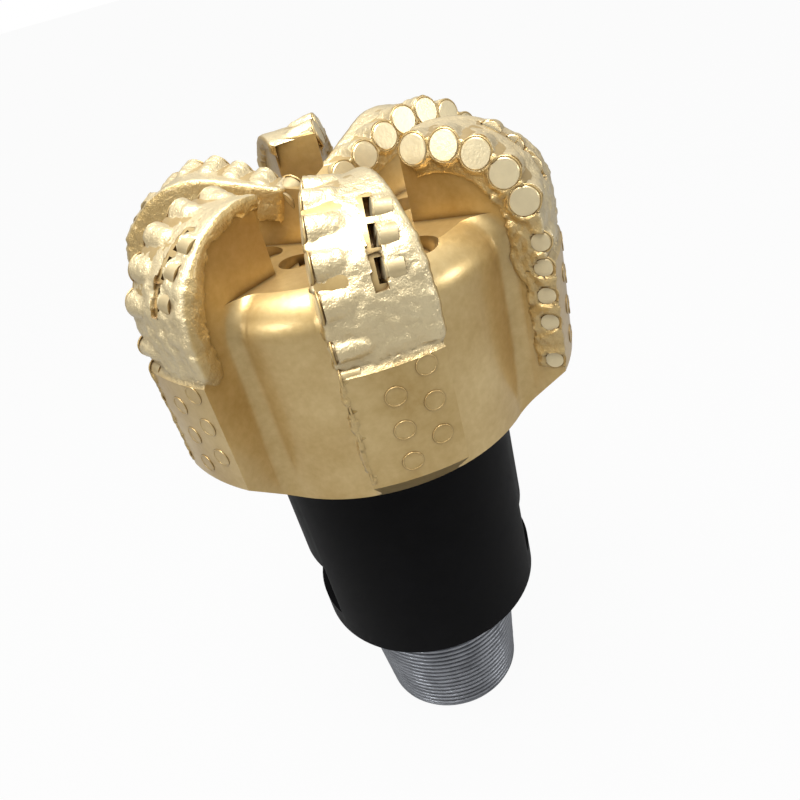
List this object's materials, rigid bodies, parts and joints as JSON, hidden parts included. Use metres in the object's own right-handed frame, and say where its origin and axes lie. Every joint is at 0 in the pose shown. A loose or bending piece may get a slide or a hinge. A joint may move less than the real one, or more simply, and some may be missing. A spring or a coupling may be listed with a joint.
{
  "type": "pdc drill bit",
  "caption": "Steel-body rotary drill bit with straight blades of round diamond compact cutters, gauge pads, junk slots, nozzles, a black shank and a tapered threaded pin",
  "frame": {"origin": "on the bit's axis in the plane of the pin's flat end", "axes": "+Z runs along the bit's axis from the pin to the cutting face; -Y faces the blade at the front of the picture"},
  "size_m": [0.305, 0.312, 0.5379],
  "materials": {
    "gold_paint": "satin",
    "black_paint": "satin",
    "cutter_face": "satin",
    "carbide": "satin",
    "seal_rubber": "matte"
  },
  "bodies": {
    "root": {"crown": "gold_paint", "shank_and_pin": "black_paint", "crown_weld": "gold_paint", "blade_1_nose_cutters": "cutter_face", "blade_1_shoulder_cutters": "cutter_face", "blade_1_gauge_cutters": "cutter_face", "blade_1_backup_cutters": "cutter_face", "blade_1_gauge_inserts": "carbide", "blade_2_nose_cutters": "cutter_face", "blade_2_shoulder_cutters": "cutter_face", "blade_2_gauge_cutters": "cutter_face", "blade_2_backup_cutters": "cutter_face", "blade_2_gauge_inserts": "carbide", "blade_3_nose_cutters": "cutter_face", "blade_3_shoulder_cutters": "cutter_face", "blade_3_gauge_cutters": "cutter_face", "blade_3_backup_cutters": "cutter_face", "blade_3_gauge_inserts": "carbide", "blade_4_nose_cutters": "cutter_face", "blade_4_shoulder_cutters": "cutter_face", "blade_4_gauge_cutters": "cutter_face", "blade_4_backup_cutters": "cutter_face", "blade_4_gauge_inserts": "carbide", "blade_5_nose_cutters": "cutter_face", "blade_5_shoulder_cutters": "cutter_face", "blade_5_gauge_cutters": "cutter_face", "blade_5_backup_cutters": "cutter_face", "blade_5_gauge_inserts": "carbide", "blade_6_nose_cutters": "cutter_face", "blade_6_shoulder_cutters": "cutter_face", "blade_6_gauge_cutters": "cutter_face", "blade_6_backup_cutters": "cutter_face", "blade_6_gauge_inserts": "carbide", "nozzle_1": "carbide", "nozzle_1_seal": "seal_rubber", "nozzle_2": "carbide", "nozzle_2_seal": "seal_rubber", "nozzle_3": "carbide", "nozzle_3_seal": "seal_rubber", "nozzle_4": "carbide", "nozzle_4_seal": "seal_rubber", "nozzle_5": "carbide", "nozzle_5_seal": "seal_rubber", "nozzle_6": "carbide", "nozzle_6_seal": "seal_rubber", "nozzle_7": "carbide", "nozzle_7_seal": "seal_rubber", "nozzle_8": "carbide", "nozzle_8_seal": "seal_rubber"}
  },
  "joints": []
}
